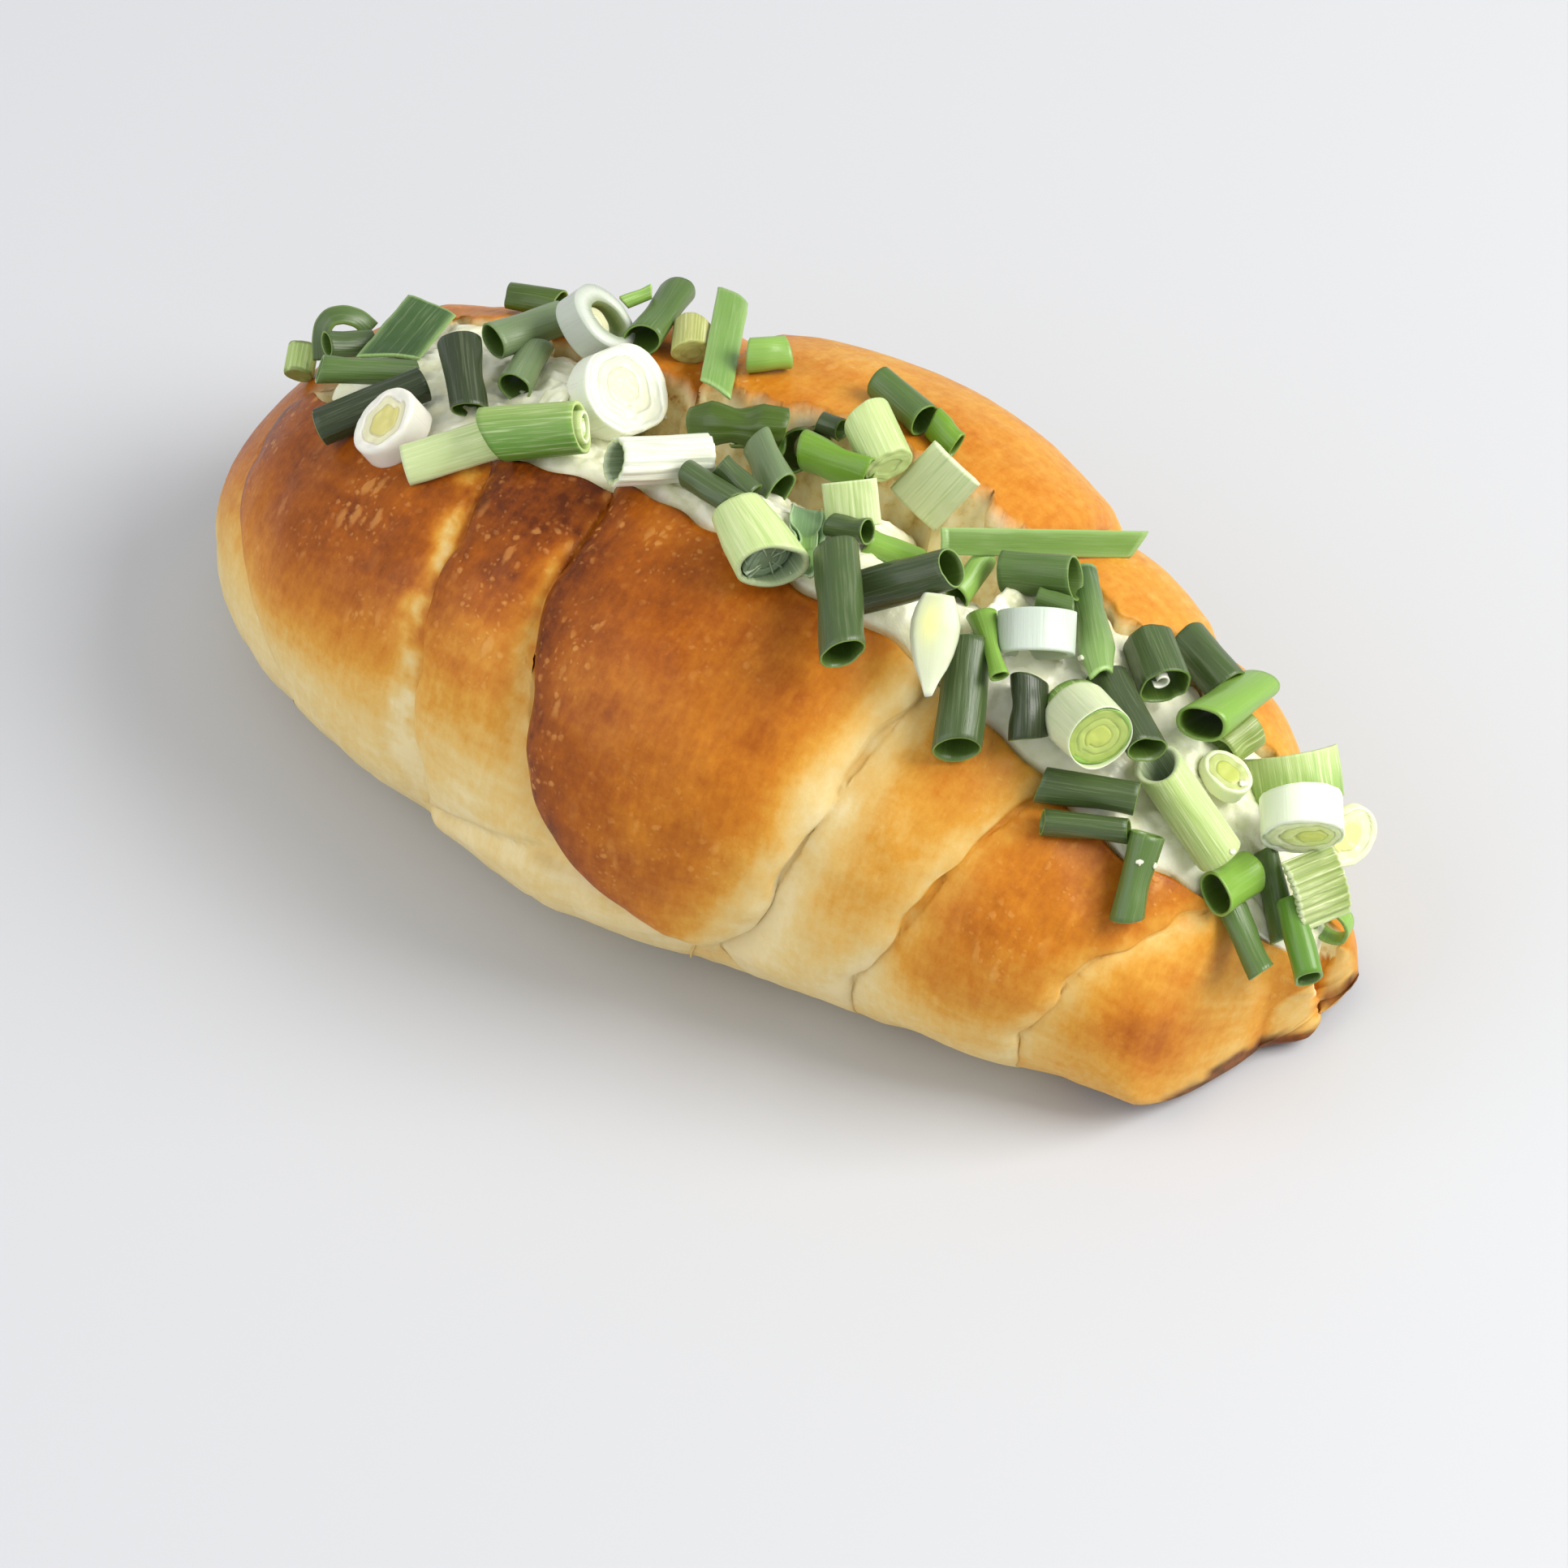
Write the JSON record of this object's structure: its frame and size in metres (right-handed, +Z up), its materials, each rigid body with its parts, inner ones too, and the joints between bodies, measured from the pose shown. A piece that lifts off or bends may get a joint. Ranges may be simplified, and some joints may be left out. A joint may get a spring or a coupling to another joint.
{
  "type": "salt bread",
  "caption": "Rolled salt bread cut open along the top, filled with cream cheese and strewn with cut scallions; a savoury filled roll that rests on its flat base.",
  "frame": {"origin": "on the bread's flat base, near its middle, at the mount named base", "axes": "+X along the roll towards its open end, +Y away from the side that carries the tip of the rolled dough, +Z up"},
  "size_m": [0.1602, 0.0844, 0.0669],
  "materials": {
    "bread_crust": "baked crust, satin sheen on the browned top, pale and matt towards the base",
    "cream_cheese": "moist soft cheese, satin",
    "scallion": "fresh cut scallion, waxy satin skin, from dark green to pale and white"
  },
  "bodies": {
    "root": {"bread": "bread_crust", "cream_cheese": "cream_cheese", "scallions": "scallion"}
  },
  "joints": []
}
